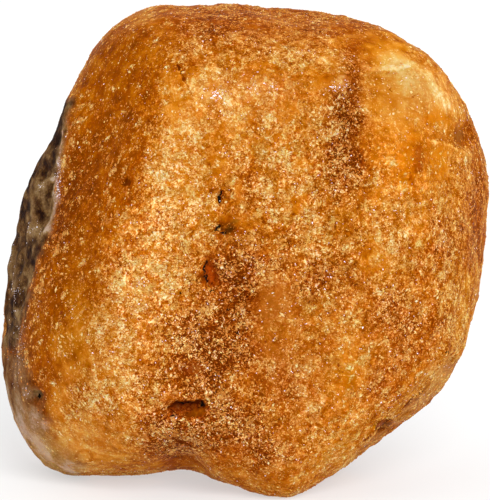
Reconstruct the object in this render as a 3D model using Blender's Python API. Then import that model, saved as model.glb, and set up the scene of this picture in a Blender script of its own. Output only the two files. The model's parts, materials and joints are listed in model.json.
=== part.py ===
# Amber nugget: one weathered pebble of cloudy resin, which stands on a small flat spot.
# Metres, +Z up. Its broad face looks toward -Y and its smooth dark flank is at -X.
# The form is worked out square to the broad face, in millimetres from the middle of the body:
# x to the right, y away through the nugget, z up the broad face. The whole then leans back onto its foot.

import math

import bmesh
import bpy
import numpy as np
from mathutils import Matrix

MM = 0.001
TURN = 2.0 * math.pi

# Driving dimensions, in millimetres and degrees
FRONT_DEPTH = 12.0
BACK_DEPTH = 13.2
FULLNESS = 3.5
EDGE_ROUNDING = 0.9
LEAN_BACK = 10.0
FOOT_DROP = 17.3

# The body's outline across the broad face: angle from +x, radius
OUTLINE = (
    (0, 18.4), (20, 19.1), (45, 20.4), (60, 19.4), (80, 18.4), (100, 19.1), (115, 19.2), (130, 18.0),
    (140, 16.9), (150, 16.5), (165, 18.0), (180, 18.7), (195, 19.8), (210, 20.4), (222, 21.2), (232, 20.9),
    (240, 19.0), (252, 17.4), (260, 16.9), (270, 17.6), (280, 19.2), (290, 18.1), (305, 17.7), (320, 18.3),
    (340, 18.0), (350, 18.5),
)

# Worn flat facets: the way each one faces, and its distance from the middle
FACETS = {
    "left flank": ((-0.774, -0.580, 0.254), 14.3),
    "left scar": ((-0.970, -0.220, 0.100), 15.7),
    "top": ((0.000, -0.300, 0.950), 17.9),
    "top rim": ((0.060, -0.590, 0.805), 18.1),
    "upper right": ((0.450, -0.650, 0.600), 19.1),
    "right side": ((0.860, -0.510, 0.000), 17.2),
    "lower right": ((0.610, -0.510, -0.610), 18.6),
    "lower left": ((-0.510, -0.610, -0.610), 18.2),
    "back left": ((-0.620, 0.760, 0.200), 15.6),
    "back right": ((0.680, 0.640, -0.350), 16.0),
    "back top": ((0.150, 0.600, 0.780), 17.2),
    "back bottom": ((-0.100, 0.560, -0.820), 17.7),
}

# A feature of the broad face or the back fades out over this depth toward the nugget's waist
WAIST_FADE = 4.0

# Soft swells and hollows: middle x and z, half width, half height, turn, rise
FRONT_SWELLS = {
    "crest": (-7.0, 3.4, 1.5, 9.5, -18.0, 0.40),
    "central valley": (2.1, -5.6, 4.2, 8.0, 0.0, -0.90),
    "ridge right of the valley": (8.2, -2.1, 2.2, 9.0, 0.0, 0.25),
    "upper left bump": (-2.6, 11.2, 1.6, 1.2, 10.0, 0.30),
    "upper middle bump": (1.2, 11.8, 1.5, 1.1, 0.0, 0.25),
    "upper right bump": (7.5, 12.2, 1.6, 1.2, 0.0, 0.30),
    "middle bump": (1.0, -0.5, 2.0, 2.2, 20.0, 0.30),
    "groove": (-3.9, 12.1, 0.5, 1.4, -20.0, -0.35),
    "bottom notch": (-4.5, -16.3, 1.5, 3.2, -6.0, -1.10),
    "right hollow": (16.6, 8.9, 1.4, 1.3, 0.0, -0.35),
    "left lobe": (-10.9, -11.6, 3.0, 3.2, 0.0, 0.25),
}
BACK_SWELLS = {
    "left heel": (-9.0, -15.0, 4.5, 3.0, 0.0, 1.00),
    "chipped hollow": (-5.0, 5.5, 4.6, 3.6, 25.0, -1.20),
    "long hollow": (6.5, -3.0, 2.6, 8.0, -15.0, -0.80),
    "back crest": (1.5, 2.0, 1.8, 9.0, -12.0, 0.55),
    "low lump": (-7.5, -8.5, 3.2, 2.6, 0.0, 0.55),
    "high lump": (6.0, 10.0, 2.8, 2.2, 15.0, 0.45),
}

# Steep small pits: middle x and z, half width, half height, turn, depth. The brim is where a wall starts and
# the wall its width, both in the pit's half sizes.
PIT_BRIM = 1.15
PIT_WALL = 0.6
FRONT_PITS = {
    "upper slit": (-1.4, 3.8, 0.28, 0.60, 0.0, 0.35),
    "round pit": (-1.3, 1.3, 0.50, 0.42, 0.0, 0.50),
    "crescent pit": (-2.3, -1.6, 0.45, 0.95, 10.0, 0.60),
    "wedge pit": (-3.9, -11.8, 1.45, 0.60, 8.0, 0.90),
    "flank pit": (-8.5, 5.0, 0.40, 0.36, 0.0, 0.30),
    "corner pit": (-14.9, -10.9, 0.50, 0.45, 0.0, 0.35),
}
BACK_PITS = {
    "back wedge": (3.4, 6.6, 1.10, 0.50, -30.0, 0.70),
    "back round pit": (-2.6, -4.2, 0.55, 0.50, 0.0, 0.55),
    "back slit": (8.6, 2.4, 0.32, 0.85, 20.0, 0.45),
}

# Broken edges on the broad face: start x and z, end x and z, step inward, width of the break and reach beyond
# it. The surface steps in on the right of the way from start to end, and the step fades out at both ends.
LEDGE_END_FADE = 1.5
LEDGES = {
    "lower right lip": ((8.2, -15.8), (15.8, -7.6), 0.45, 0.40, 4.0),
    "upper right chip": ((8.8, 13.1), (12.2, 13.9), 0.35, 0.30, 3.4),
    "right rim crack": ((14.0, 8.3), (18.0, 6.9), 0.22, 0.30, 2.0),
}

# The dirty scar, a rough face sunk into the left side, behind a nearly straight lip
SCAR = {
    "lip_top": (-12.6, 9.8),
    "lip_bottom": (-16.2, -8.5),
    "lip_width": 0.55,
    "sink": 0.45,
    "roughness": 0.12,
    "lump_size": 2.8,
    "lump_waves": 20,
    "seed": 21,
    "z_from": -9.5,
    "z_to": 11.5,
    "y_to": 6.5,
    "fade": 1.5,
}

# Unevenness of the whole surface: lump size, height, number of waves, seed
WAVES = ((11.0, 0.15, 9, 11), (5.0, 0.08, 14, 12), (2.6, 0.04, 18, 13))

# Mesh: the even sphere it starts from, and how far an edge may miss the surface before its faces are split
SPHERE_DIVISIONS = 5
MISS = 0.085
SPLIT_PASSES = 3
FLAT_SNAP = 0.001

AMBER = {"base_color": (0.49, 0.21, 0.045, 1.0), "roughness": 0.42, "metallic": 0.0, "ior": 1.54}


def clear_scene():
    for thing in list(bpy.data.objects):
        bpy.data.objects.remove(thing, do_unlink=True)


def smooth_step(value):
    value = np.clip(value, 0.0, 1.0)
    return value * value * (3.0 - 2.0 * value)


def outline_radius(angle):
    # A smooth closed curve through the outline's points: cubic pieces that share their slopes
    angles = np.radians([point[0] for point in OUTLINE])
    radii = np.array([point[1] for point in OUTLINE])
    reach = np.mod(np.roll(angles, -1) - np.roll(angles, 1), TURN)
    slopes = (np.roll(radii, -1) - np.roll(radii, 1)) / reach
    angle = np.mod(angle, TURN)
    start = np.searchsorted(angles, angle, side="right") - 1
    end = (start + 1) % len(radii)
    span = np.mod(angles[end] - angles[start], TURN)
    t = (angle - angles[start]) / span
    return (
        (2 * t**3 - 3 * t**2 + 1) * radii[start]
        + (t**3 - 2 * t**2 + t) * span * slopes[start]
        + (3 * t**2 - 2 * t**3) * radii[end]
        + (t**3 - t**2) * span * slopes[end]
    )


def body_radius(direction):
    # A rounded box whose cross-section is the outline, with its own depth to the front and to the back
    x, y, z = direction.T
    depth = np.where(y < 0.0, FRONT_DEPTH, BACK_DEPTH)
    across = np.hypot(x, z) / outline_radius(np.arctan2(z, x))
    return (across**FULLNESS + (np.abs(y) / depth) ** FULLNESS) ** (-1.0 / FULLNESS)


def facet_radius(direction, facing, distance):
    # The distance to a plane along each direction, or very far where the direction never meets it
    facing = np.array(facing) / np.linalg.norm(facing)
    return distance / np.maximum(direction @ facing, 1e-3)


def rounded_smallest(radii):
    # The smallest radius in each column, with the edges between the surfaces rounded over
    smallest = radii.min(axis=0)
    return smallest - EDGE_ROUNDING * np.log(np.exp((smallest - radii) / EDGE_ROUNDING).sum(axis=0))


def waves(points, size, count, seed):
    # Seeded plane waves in all directions, with a mean square of one
    chooser = np.random.default_rng(seed)
    ways = chooser.normal(size=(count, 3))
    ways /= np.linalg.norm(ways, axis=1, keepdims=True)
    phases = chooser.uniform(0.0, TURN, count)
    turns = points @ (ways.T * TURN / size) + phases
    return np.sin(turns).sum(axis=1) * math.sqrt(2.0 / count)


def off_middle(points, x, z, half_width, half_height, turn):
    # The distance from a feature's middle, in its own half sizes, after it is turned in the broad face
    c, s = math.cos(math.radians(turn)), math.sin(math.radians(turn))
    along, up = points[:, 0] - x, points[:, 2] - z
    return np.hypot((c * along + s * up) / half_width, (c * up - s * along) / half_height)


def swell_rise(points, swells):
    rise = np.zeros(len(points))
    for x, z, half_width, half_height, turn, height in swells.values():
        away = off_middle(points, x, z, half_width, half_height, turn)
        rise += height * np.exp(-(away**2))
    return rise


def pit_rise(points, pits):
    # Steep walls down to a rounded floor
    rise = np.zeros(len(points))
    for x, z, half_width, half_height, turn, depth in pits.values():
        away = off_middle(points, x, z, half_width, half_height, turn)
        rise -= depth * smooth_step((PIT_BRIM - away) / PIT_WALL)
    return rise


def ledge_rise(points):
    rise = np.zeros(len(points))
    for start, end, step, width, reach in LEDGES.values():
        start, end = np.array(start), np.array(end)
        length = np.linalg.norm(end - start)
        way = (end - start) / length
        offset = points[:, (0, 2)] - start
        along = offset @ way
        beyond = offset @ np.array((way[1], -way[0]))
        ends = smooth_step(along / LEDGE_END_FADE + 0.5)
        ends *= smooth_step((length - along) / LEDGE_END_FADE + 0.5)
        fade = 1.0 - smooth_step((beyond - width) / reach)
        rise -= step * ends * smooth_step(beyond / width + 0.5) * fade
    return rise


def scar_share(points):
    # One on the scar and zero off it, across its lip and its ends
    x, y, z = points.T
    (top_x, top_z), (low_x, low_z) = SCAR["lip_top"], SCAR["lip_bottom"]
    lip = top_x + (low_x - top_x) * (top_z - z) / (top_z - low_z)
    share = smooth_step((lip - x) / SCAR["lip_width"] + 0.5)
    share *= smooth_step((z - SCAR["z_from"]) / SCAR["fade"]) * smooth_step((SCAR["z_to"] - z) / SCAR["fade"])
    return share * smooth_step((SCAR["y_to"] - y) / SCAR["fade"])


def scar_rise(points):
    lumps = waves(points, SCAR["lump_size"], SCAR["lump_waves"], SCAR["seed"])
    return scar_share(points) * (SCAR["roughness"] * lumps - SCAR["sink"])


def surface(direction):
    # The nugget's surface point along each direction from its middle
    radii = [body_radius(direction)]
    radii += [facet_radius(direction, facing, distance) for facing, distance in FACETS.values()]
    radius = rounded_smallest(np.array(radii))
    smooth = direction * radius[:, None]
    front = smooth_step(-smooth[:, 1] / WAIST_FADE)
    back = smooth_step(smooth[:, 1] / WAIST_FADE)
    radius += front * (swell_rise(smooth, FRONT_SWELLS) + pit_rise(smooth, FRONT_PITS) + ledge_rise(smooth))
    radius += back * (swell_rise(smooth, BACK_SWELLS) + pit_rise(smooth, BACK_PITS))
    radius += scar_rise(smooth)
    for size, height, count, seed in WAVES:
        radius += height * waves(smooth, size, count, seed)
    lean = math.radians(LEAN_BACK)
    foot = facet_radius(direction, (0.0, math.sin(lean), -math.cos(lean)), FOOT_DROP)
    return direction * np.minimum(radius, foot)[:, None]


def unit(points):
    return points / np.linalg.norm(points, axis=1, keepdims=True)


def place_vertices(bm):
    points = surface(unit(np.array([vertex.co for vertex in bm.verts])))
    for vertex, point in zip(bm.verts, points):
        vertex.co = point


def split_where_coarse(bm):
    # Splits the faces beside each edge whose middle misses the surface, so pits and ledges get small faces
    edges = list(bm.edges)
    middles = np.array([(edge.verts[0].co + edge.verts[1].co) / 2.0 for edge in edges])
    miss = np.linalg.norm(surface(unit(middles)) - middles, axis=1)
    faces = {face for edge, gap in zip(edges, miss) if gap > MISS for face in edge.link_faces}
    coarse = {edge for face in faces for edge in face.edges}
    bmesh.ops.subdivide_edges(bm, edges=sorted(coarse, key=lambda edge: edge.index), cuts=1)
    bmesh.ops.triangulate(bm, faces=bm.faces[:])


def stand_on_foot(bm):
    # Leans the body back, sets the foot on z = 0 and centres the box over the origin
    bm.transform(Matrix.Rotation(math.radians(-LEAN_BACK), 4, "X"))
    points = np.array([vertex.co for vertex in bm.verts])
    low, high = points.min(axis=0), points.max(axis=0)
    bm.transform(Matrix.Translation((-(low[0] + high[0]) / 2.0, -(low[1] + high[1]) / 2.0, -low[2])))
    for vertex in bm.verts:
        if vertex.co.z < FLAT_SNAP:
            vertex.co.z = 0.0
    bm.transform(Matrix.Scale(MM, 4))


def amber_material():
    material = bpy.data.materials.new("amber")
    material.use_nodes = True
    shader = material.node_tree.nodes["Principled BSDF"]
    shader.inputs["Base Color"].default_value = AMBER["base_color"]
    shader.inputs["Roughness"].default_value = AMBER["roughness"]
    shader.inputs["Metallic"].default_value = AMBER["metallic"]
    shader.inputs["IOR"].default_value = AMBER["ior"]
    return material


def add_nugget():
    bm = bmesh.new()
    bmesh.ops.create_icosphere(bm, subdivisions=SPHERE_DIVISIONS, radius=1.0)
    place_vertices(bm)
    for _ in range(SPLIT_PASSES):
        split_where_coarse(bm)
        place_vertices(bm)
    stand_on_foot(bm)
    mesh = bpy.data.meshes.new("amber_nugget")
    bm.to_mesh(mesh)
    bm.free()
    mesh.shade_smooth()
    mesh.materials.append(amber_material())
    nugget = bpy.data.objects.new("amber_nugget", mesh)
    bpy.context.scene.collection.objects.link(nugget)


clear_scene()
add_nugget()
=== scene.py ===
# A raw amber nugget on a white table: the cloudy body, its crumbly crust and a soft studio light.

import json
from itertools import product

import bpy
import numpy as np
from mathutils import Matrix, Vector

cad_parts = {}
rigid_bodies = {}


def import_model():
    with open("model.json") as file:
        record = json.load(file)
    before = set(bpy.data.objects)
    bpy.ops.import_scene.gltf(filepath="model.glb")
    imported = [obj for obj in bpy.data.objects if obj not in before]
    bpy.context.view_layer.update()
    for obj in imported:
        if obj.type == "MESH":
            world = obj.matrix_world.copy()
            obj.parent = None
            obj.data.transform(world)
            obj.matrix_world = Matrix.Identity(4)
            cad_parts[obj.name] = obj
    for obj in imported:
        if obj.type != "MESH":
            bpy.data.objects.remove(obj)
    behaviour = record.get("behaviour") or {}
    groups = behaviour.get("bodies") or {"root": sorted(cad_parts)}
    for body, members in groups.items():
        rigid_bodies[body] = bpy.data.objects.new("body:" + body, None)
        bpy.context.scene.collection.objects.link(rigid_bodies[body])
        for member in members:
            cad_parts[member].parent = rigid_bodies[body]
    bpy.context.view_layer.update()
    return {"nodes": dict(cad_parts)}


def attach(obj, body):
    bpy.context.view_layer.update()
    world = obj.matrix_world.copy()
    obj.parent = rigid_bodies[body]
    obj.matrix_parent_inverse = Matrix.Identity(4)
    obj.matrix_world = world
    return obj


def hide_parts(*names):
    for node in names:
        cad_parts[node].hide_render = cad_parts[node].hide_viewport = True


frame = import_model()
mm = 0.001

# The view that the marks below are placed in: square to the broad face, which leans back.
# A mark's place is a pixel of a picture 490 wide and 500 high, counted from its top left.
view = {
    "lean": 10.0,                    # degrees that the broad face leans back and the camera looks down
    "middle": (-0.43, -0.67, 17.3),  # the body's middle in the frame, mm
    "middlePixel": (239.2, 248.0),   # where the picture shows it
    "picture": (490, 500),
    "pixel": 0.0744,                 # mm to a pixel, at the middle's distance
    "distance": 800.0,               # mm from the camera to the middle
    "faceNearer": 11.5,              # mm that the broad face is nearer than the middle
    "sensor": 36.0,                  # mm
    "clip": (0.05, 50.0),            # m
}


def clipped(value):
    # Held between 0 and 1
    return np.clip(value, 0.0, 1.0)


def smoothStep(value):
    # 3t^2 - 2t^3 between 0 and 1
    value = clipped(value)
    return value * value * (3.0 - 2.0 * value)


def between(value, start, end):
    # A smooth step from 0 at the start to 1 at the end, which may be the lower of the two
    return smoothStep((value - start) / (end - start))


def halfStep(distance, width):
    # A smooth step over a width, half way where the distance is 0
    return smoothStep(distance / width + 0.5)


def leanBack():
    # The turn from square-on mm to the frame
    return np.array(Matrix.Rotation(np.radians(-view["lean"]), 3, "X"))


def squareOn(points):
    # The frame's points turned square to the broad face: x right, y away, z up, from the body's middle
    return (points - np.array(view["middle"])) @ leanBack()


def pixelMiddle():
    # The column and the row half way across and down the picture
    return np.array([(side - 1) / 2 for side in view["picture"]])


def pictureCentre():
    # What the camera points at, in square-on mm from the body's middle
    right, down = (pixelMiddle() - np.array(view["middlePixel"])) * view["pixel"]
    return right, -down


def pixelsOf(square):
    # The pixel that shows each square-on point: its offset shrinks with distance over distance plus depth
    centreX, centreZ = pictureCentre()
    middleX, middleY = pixelMiddle()
    shrink = view["distance"] / (view["distance"] + square[:, 1]) / view["pixel"]
    return middleX + (square[:, 0] - centreX) * shrink, middleY - (square[:, 2] - centreZ) * shrink


def gradientNoise(points, size, seed):
    # Random slopes at the corners of a lattice of the given size, blended by 6t^5 - 15t^4 + 10t^3.
    # The height brings its spread to about 1.
    kinds, height = 256, 3.8
    chooser = np.random.default_rng(seed)
    order = chooser.permutation(kinds)
    slopes = chooser.normal(size=(kinds, 3))
    slopes /= np.linalg.norm(slopes, axis=1, keepdims=True)
    place = points / size + chooser.uniform(0.0, kinds, 3)
    cell = np.floor(place).astype(int)
    inside = place - cell
    blend = inside**3 * (inside * (inside * 6.0 - 15.0) + 10.0)
    total = np.zeros(len(points))
    for corner in product((0, 1), repeat=3):
        spot = (cell + corner) % kinds
        pick = order[(order[(order[spot[:, 0]] + spot[:, 1]) % kinds] + spot[:, 2]) % kinds]
        share = np.where(np.array(corner) == 1, blend, 1.0 - blend).prod(axis=1)
        total += share * ((inside - corner) * slopes[pick]).sum(axis=1)
    return total * height


def roughNoise(points, size, seed, layers=3, gain=0.5):
    # Layers of gradient noise, each half the size and gain times the height of the one before
    heights = gain ** np.arange(layers)
    total = sum(h * gradientNoise(points, size / 2**i, seed + i) for i, h in enumerate(heights))
    return total / np.sqrt((heights**2).sum())


def offMiddle(x, y, mark):
    # The distance from a mark's middle in its own half sizes, after its turn in degrees
    middleX, middleY, halfWidth, halfHeight, turn = mark[:5]
    c, s = np.cos(np.radians(turn)), np.sin(np.radians(turn))
    return np.hypot((c * (x - middleX) + s * (y - middleY)) / halfWidth,
                    (c * (y - middleY) - s * (x - middleX)) / halfHeight)


def blots(x, y, marks):
    # Soft round marks: strength times exp(-distance^2)
    return sum(mark[5] * np.exp(-offMiddle(x, y, mark) ** 2) for mark in marks.values())


def bands(x, y, marks):
    # Soft bands along a path that runs down the picture: strength times exp(-(distance/half width)^2),
    # faded at its ends
    total = np.zeros(len(x))
    for halfWidth, fade, strength, path in marks.values():
        across, down = np.array(path, float).T
        off = (x - np.interp(y, down, across)) / halfWidth
        ends = halfStep(y - down[0], fade) * halfStep(down[-1] - y, fade)
        total += strength * ends * np.exp(-off**2)
    return total


def offPath(x, y, path):
    # The distance from a path of straight pieces, positive on its left as the picture shows it,
    # how far along the nearest place is, and the path's length
    path = np.array(path, float)
    best, side, along, start = np.full(len(x), 1e9), np.zeros(len(x)), np.zeros(len(x)), 0.0
    for (x0, y0), (x1, y1) in zip(path[:-1], path[1:]):
        length = np.hypot(x1 - x0, y1 - y0)
        wayX, wayY = (x1 - x0) / length, (y1 - y0) / length
        t = np.clip((x - x0) * wayX + (y - y0) * wayY, 0.0, length)
        off = np.hypot(x - x0 - t * wayX, y - y0 - t * wayY)
        nearer = off < best
        side = np.where(nearer, np.sign((x - x0) * wayY - (y - y0) * wayX), side)
        along = np.where(nearer, start + t, along)
        best = np.minimum(best, off)
        start += length
    return best * side, along, start


skin = {
    "cells": (143, 103, 143),        # cells along x, y and z on the six sides of the grid
    "reach": (17.5, 13.5, 17.2),     # half sizes of the box that spreads the grid evenly, mm
    "seed": (0.0, 0.0, 17.2),        # the point inside the body that the grid is thrown outward from, mm
    "ball": 2.0,                     # radius of the ball that is thrown, mm
    "missed": 5.0,                   # a point that stays nearer to the seed has missed the body, mm
    "smoothing": 36,                 # rounds
    "sheetMargin": 3,                # cells between the sides on the UV sheet
    "frontEdge": (-0.15, 0.15),      # facing at which the back's finish ends and the front's is full
    # Where the front's grid is drawn together: across and up from the seed, mm, its spread, and how much
    "dense": ((-1.9, 0.9, 2.6, 0.62), (-4.1, -11.9, 2.2, 0.55), (12.3, -11.5, 2.4, 0.5),
              (10.9, 13.2, 1.6, 0.5)),
}


def boxGrid(cells):
    # Six grids of two parameters, one on each side of a box of whole cells, welded where they meet
    spots, quads, sheet = [], [], []
    nx, ny, nz = cells
    gap = skin["sheetMargin"]
    places = {(1, 0): (0, 0), (1, 1): (nx + gap, 0), (0, 0): (2 * (nx + gap), 0),
              (0, 1): (0, nz + gap), (2, 0): (ny + gap, nz + gap), (2, 1): (ny + nx + 2 * gap, nz + gap)}
    size = np.array([2 * (nx + gap) + ny + gap, 2 * nz + 2 * gap], float)
    start = 0
    for axis, end in product(range(3), (0, 1)):
        across, along = [i for i in range(3) if i != axis]
        a, b = np.meshgrid(np.arange(cells[across] + 1), np.arange(cells[along] + 1), indexing="ij")
        side = np.zeros(a.shape + (3,), int)
        side[..., across], side[..., along], side[..., axis] = a, b, end * cells[axis]
        index = np.arange(a.size).reshape(a.shape)
        rings = [r[:-1, :-1] if (i, j) == (0, 0) else r[i:r.shape[0] - 1 + i, j:r.shape[1] - 1 + j]
                 for r, (i, j) in zip([index] * 4, ((0, 0), (1, 0), (1, 1), (0, 1)))]
        if (end == 1) == (axis == 1):       # the ring runs the other way round on these sides
            rings = rings[::-1]
        ring = np.stack([r.ravel() for r in rings], axis=1)
        flat = np.stack([a.ravel(), b.ravel()], axis=1) + np.array(places[(axis, end)]) + gap / 2
        spots.append(side.reshape(-1, 3))
        quads.append(ring + start)
        sheet.append((flat / size)[ring])
        start += a.size
    spots, welded = np.unique(np.concatenate(spots), axis=0, return_inverse=True)
    return spots, welded.ravel()[np.concatenate(quads)], np.concatenate(sheet)


def meshFrom(name, points, faces, sheet=None, smooth=True):
    # A mesh object at the origin, from points in mm and faces with the same number of corners
    mesh = bpy.data.meshes.new(name)
    sides = faces.shape[1]
    mesh.vertices.add(len(points))
    mesh.vertices.foreach_set("co", (points * mm).astype(np.float32).ravel())
    mesh.loops.add(faces.size)
    mesh.loops.foreach_set("vertex_index", faces.astype(np.int32).ravel())
    mesh.polygons.add(len(faces))
    mesh.polygons.foreach_set("loop_start", np.arange(0, faces.size, sides, dtype=np.int32))
    mesh.polygons.foreach_set("use_smooth", np.full(len(faces), smooth))
    mesh.update(calc_edges=True)
    if sheet is not None:
        layer = mesh.uv_layers.new(name="OFBake")
        layer.data.foreach_set("uv", sheet.astype(np.float32).ravel())
    piece = bpy.data.objects.new(name, mesh)
    bpy.context.scene.collection.objects.link(piece)
    return piece


def storeShare(piece, name, values):
    # One number a point, which the material reads by its name
    layer = piece.data.attributes.new(name, "FLOAT", "POINT")
    layer.data.foreach_set("value", values.astype(np.float32))


def thrownOnto(piece, target):
    # The points of a small ball, thrown outward onto the target by Shrinkwrap, in mm
    wrap = piece.modifiers.new("onto the body", "SHRINKWRAP")
    wrap.wrap_method = "PROJECT"
    wrap.use_positive_direction, wrap.use_negative_direction = True, False
    wrap.target = target
    landed = piece.evaluated_get(bpy.context.evaluated_depsgraph_get()).to_mesh()
    points = np.empty(len(landed.vertices) * 3, np.float32)
    landed.vertices.foreach_get("co", points)
    piece.modifiers.clear()
    return points.reshape(-1, 3).astype(float) / mm


def gathered(index, vectors, count):
    # The sum of the vectors that have the same index
    return np.stack([np.bincount(index, vectors[:, k], count) for k in range(3)], axis=1)


def relaxed(points, ends, rounds):
    # Each round moves every point halfway to the mean of its neighbours
    near, far = ends.T
    neighbours = np.bincount(near)[:, None]
    for _ in range(rounds):
        points = (points + gathered(near, points[far], len(points)) / neighbours) / 2.0
    return points


def pointNormals(points, quads):
    # The sum of the crosses of the diagonals of the quads round each point
    corner = points[quads]
    cross = np.cross(corner[:, 2] - corner[:, 0], corner[:, 3] - corner[:, 1])
    total = gathered(quads.ravel(), np.repeat(cross, 4, axis=0), len(points))
    return total / np.linalg.norm(total, axis=1, keepdims=True)


def drawnTogether(box):
    # Points of the front side move toward a middle, by a share of their offset
    # times exp(-(offset/spread)^2 / 2)
    onFront = box[:, 1] <= -skin["reach"][1]
    for across, up, spread, share in skin["dense"]:
        off = box[:, (0, 2)] - np.array((across, up))
        pull = onFront * share * np.exp(-(off**2).sum(axis=1) / (2.0 * spread**2))
        box[:, (0, 2)] -= off * pull[:, None]
    return box


spots, quads, sheet = boxGrid(skin["cells"])
ball = drawnTogether((spots / np.array(skin["cells"]) * 2.0 - 1.0) * np.array(skin["reach"]))
ball /= np.linalg.norm(ball, axis=1, keepdims=True)
body = meshFrom("amber_body", ball * skin["ball"] + np.array(skin["seed"]), quads, sheet)
thrown = thrownOnto(body, frame["nodes"]["amber_nugget"])
missed = np.linalg.norm(thrown - np.array(skin["seed"]), axis=1) < skin["missed"]
edges = np.concatenate([quads[:, (i, (i + 1) % 4)] for i in range(4)])
edges = np.unique(np.sort(edges, axis=1), axis=0)
base = relaxed(thrown, np.concatenate([edges, edges[:, ::-1]]), skin["smoothing"])
print("grid thrown onto the body:", len(base), "points,", len(quads), "faces,", missed.sum(), "missed")

normals = pointNormals(base, quads)
square = squareOn(base)
facing = -(normals @ leanBack())[:, 1]            # 1 where the surface faces the camera
px, py = pixelsOf(square)
front = between(facing, *skin["frontEdge"])
back = 1.0 - front

# Noise on the skin: size in mm, seed, layers, what each layer keeps of the height of the one before
grain = {
    "wobble": (2.2, 31), "ragged": (0.9, 41), "streak": (3.2, 51), "farFleck": (4.0, 61),
    "farBare": (3.4, 66), "fleck": (1.6, 71), "tone": (1.3, 81), "pitEdge": (0.6, 91),
    "pitEdgeDown": (0.6, 92), "lumps": (3.0, 101, 4), "crust": (0.75, 111, 2),
    "dirt": (1.15, 121, 2, 0.35),
}
# The smooth dark side on the left
flank = {
    "edge": ((178, 20), (170, 50), (158, 100), (147, 150), (135, 200), (112, 250), (95, 300), (92, 350),
        (70, 400), (40, 440)),
    "wander": 6.0,                   # pixels that its edge strays
    "softness": (26.0, 38.0),        # pixels over which it gives way, and how many more at the top
    "topRows": (170.0, 70.0),        # rows where those start and are full
    "left": (-2.0, -6.0),            # mm across where the left side starts and is full
    "back": (7.0, 3.0),              # mm deep where it ends and is full
}
# The dirty scar on the left side
scar = {
    "edge": ((80, 92), (68, 120), (62, 150), (58, 180), (60, 200), (50, 240), (42, 260), (35, 290),
        (28, 320), (20, 352)),
    "wander": 1.3, "softness": 7.0,  # pixels that this edge strays and that it is soft
    "sideWander": 9.0,               # pixels that its ends stray round the side
    "top": (92.0, 104.0), "foot": (362.0, 342.0),     # rows where it ends and is full
    "middle": (222.0, 140.0),        # its middle row and half height, for its outline at the back
    "back": (6.5, 2.5, 2.8),         # mm deep that it ends, how much more half way, softness
    "backWander": (1.3, 0.6),        # mm that this end strays, coarsely and finely
}
# Its pale lip
scarLipLook = {
    "wander": 2.0, "middle": 0.5, "halfWidth": 3.2,   # pixels left of the scar's edge
    "top": (115.0, 129.0), "foot": (250.0, 230.0),    # rows where it ends and is full
    "tone": 0.10, "dirt": 0.75, "dirtLight": 3.2, "uneven": 0.5,
}
# The thin pale dirt that runs on from the scar down the left rim
rim = {
    "path": ((26, 330), (27, 360), (33, 390), (46, 420), (64, 442), (88, 466)),
    "wander": 5.0, "softness": 34.0,  # pixels that this path strays and that it is soft
    "share": 0.78,
    "top": (335.0, 360.0),           # rows where it starts and is full
    "back": (9.8, 6.8),              # mm deep where it ends and is full
    "thin": (395.0, 445.0, 0.12),    # rows between which it thins, and by how much
    "light": (0.8, 2.6),             # how light it is, and how much more so low down
    "lightRows": (370.0, 430.0),     # rows where that starts and is full
}


def leftBy(edge, x, y):
    # How far left of an edge that runs down the picture
    return np.interp(y, [p[1] for p in edge], [p[0] for p in edge]) - x


def leftOf(edge, x, y, softness):
    # 1 on the left of an edge and 0 on its right, half way on it
    return halfStep(leftBy(edge, x, y), softness)


wobble = roughNoise(square, *grain["wobble"])
ragged = roughNoise(square, *grain["ragged"])
leftSide = between(square[:, 0], *flank["left"])
softness, topSoftness = flank["softness"]
flankShare = leftOf(flank["edge"], px + flank["wander"] * wobble, py,
                    softness + topSoftness * between(py, *flank["topRows"]))
flankShare *= leftSide * between(square[:, 1] - wobble, *flank["back"])
scarShare = leftOf(scar["edge"], px + scar["wander"] * ragged, py, scar["softness"]) * leftSide
raggedY = py + scar["sideWander"] * back * (ragged + wobble)
scarShare *= between(raggedY, *scar["top"]) * between(raggedY, *scar["foot"])
middleRow, halfHeight = scar["middle"]
roundBack = np.sqrt(clipped(1.0 - ((raggedY - middleRow) / halfHeight) ** 2))
strayBack = square[:, 1] - scar["backWander"][0] * wobble - scar["backWander"][1] * ragged
scarEnd, scarMore, scarSoftness = scar["back"]
scarShare *= smoothStep((scarEnd + scarMore * roundBack - strayBack) / scarSoftness)

# Broken edges: the surface steps in on the left of the path.
# Depth in mm, width of the edge and reach beyond it in pixels, path
steps = {
    "lower right lip": (0.30, 2.5, 16.0, ((449, 350), (438, 369), (426, 384), (419, 396), (405, 408),
        (390, 422), (376, 432), (359, 446), (350, 458))),
    "chip": (0.26, 2.5, 14.0, ((410, 64), (396, 69), (384, 71), (362, 71))),
    "rim ridge": (-0.18, 3.5, 12.0, ((478, 157), (462, 149), (448, 143), (426, 139))),
}
stepEnds = 8.0                       # pixels over which a broken edge starts and ends
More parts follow.
